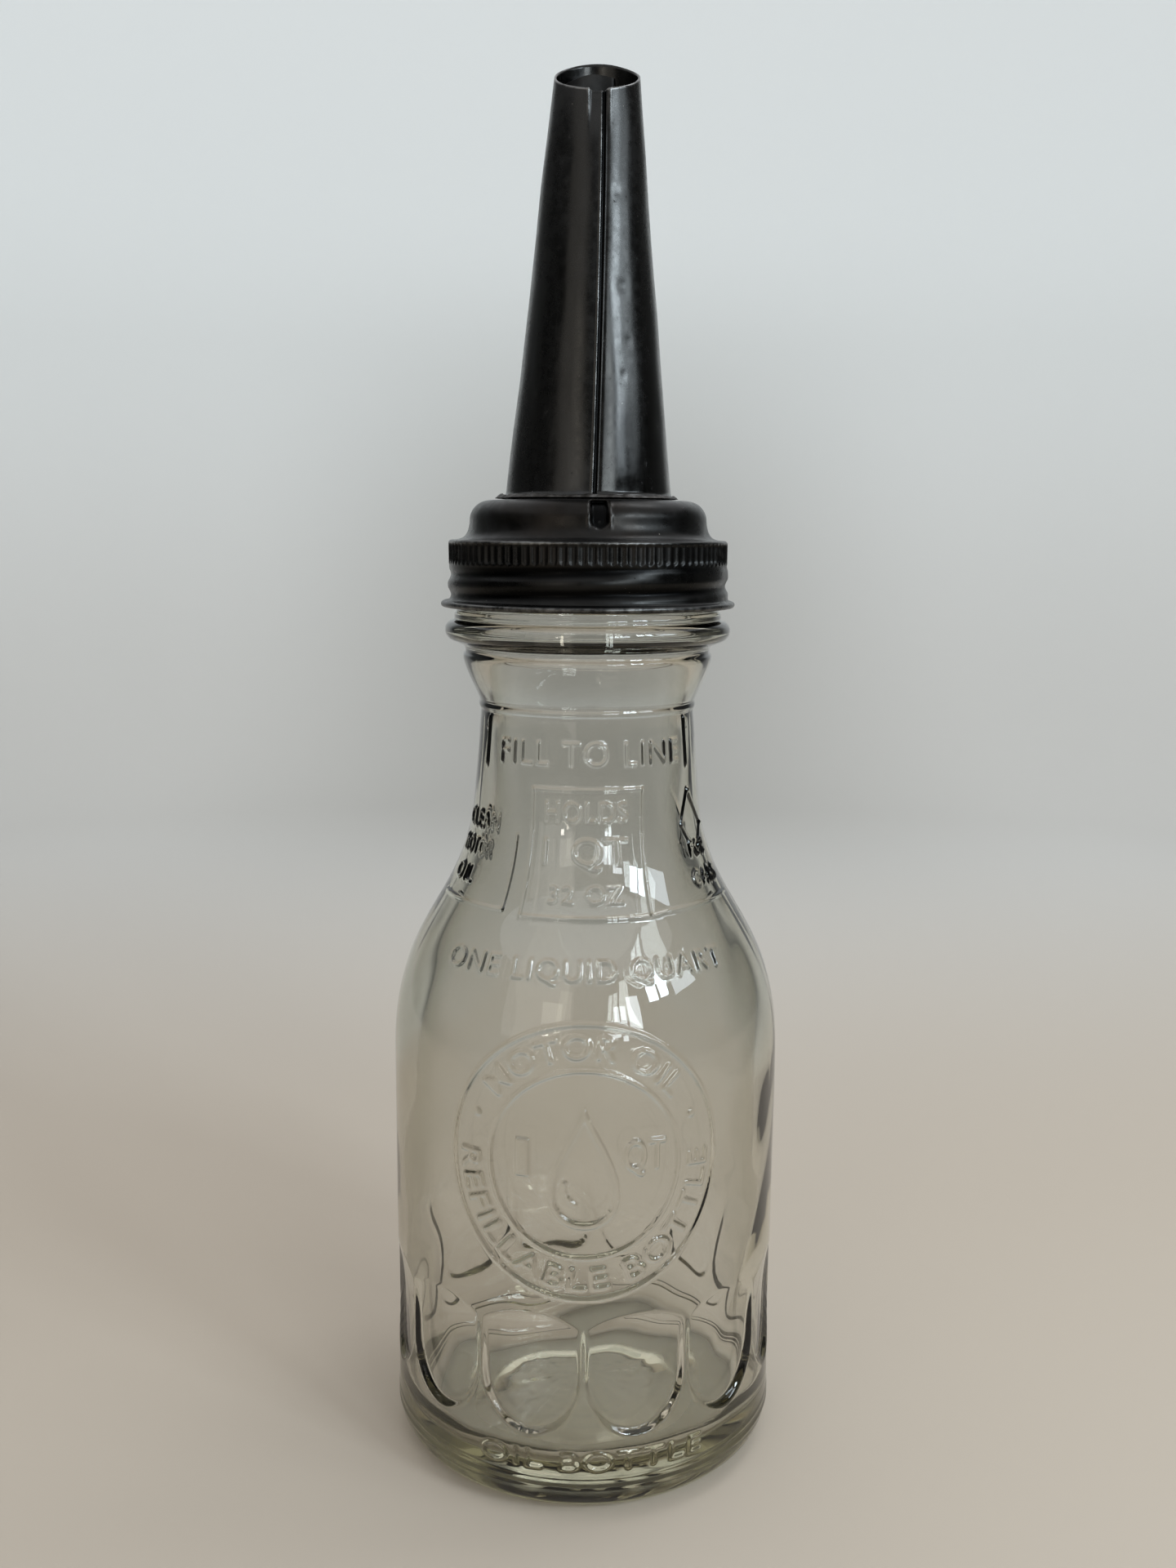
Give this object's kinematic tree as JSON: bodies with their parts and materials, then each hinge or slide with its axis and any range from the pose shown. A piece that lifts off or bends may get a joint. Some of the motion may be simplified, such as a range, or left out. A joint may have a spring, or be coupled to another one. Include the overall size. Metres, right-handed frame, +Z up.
{
  "type": "glass oil bottle",
  "caption": "Moulded glass motor oil bottle with a threaded tin cap and a soldered conical pouring spout.",
  "frame": {"origin": "middle of the bottle's base, on the surface it stands on", "axes": "+Z up along the bottle's axis, -Y towards the side with the cone's seam and the large emblem"},
  "size_m": [0.1016, 0.1016, 0.3565],
  "materials": {
    "clear_glass": "clear moulded glass, slightly grey-olive, smooth and glossy",
    "gasket_cork": "oil-stained cork composition",
    "tarnished_tin": "tinplate tarnished to dark gunmetal, bright on worn edges",
    "tarnished_tin_cone": "tinplate tarnished to dark gunmetal with brown patina and fine pits",
    "inner_tin": "dull grey tinplate",
    "solder": "dull grey lumpy solder"
  },
  "bodies": {
    "bottle": {"glass_bottle": "clear_glass"},
    "gasket": {"sealing_gasket": "gasket_cork"},
    "spout": {"screw_cap": "tarnished_tin", "spout_cone": "tarnished_tin_cone", "vent_duct": "inner_tin", "solder_joint": "solder"}
  },
  "joints": [
    {"name": "thread_lift", "type": "slide", "parent": "bottle", "child": "gasket", "axis": [0, 0, 1], "range_m": [0, 0.00636]},
    {"name": "cap_turn", "type": "hinge", "parent": "gasket", "child": "spout", "pos_m": [0, 0, 0.23], "axis": [0, 0, 1], "range_deg": [0, 450]}
  ],
  "couplings": [
    {"joint": "thread_lift", "follows": "cap_turn", "m_per_rad": 0.00080851}
  ]
}
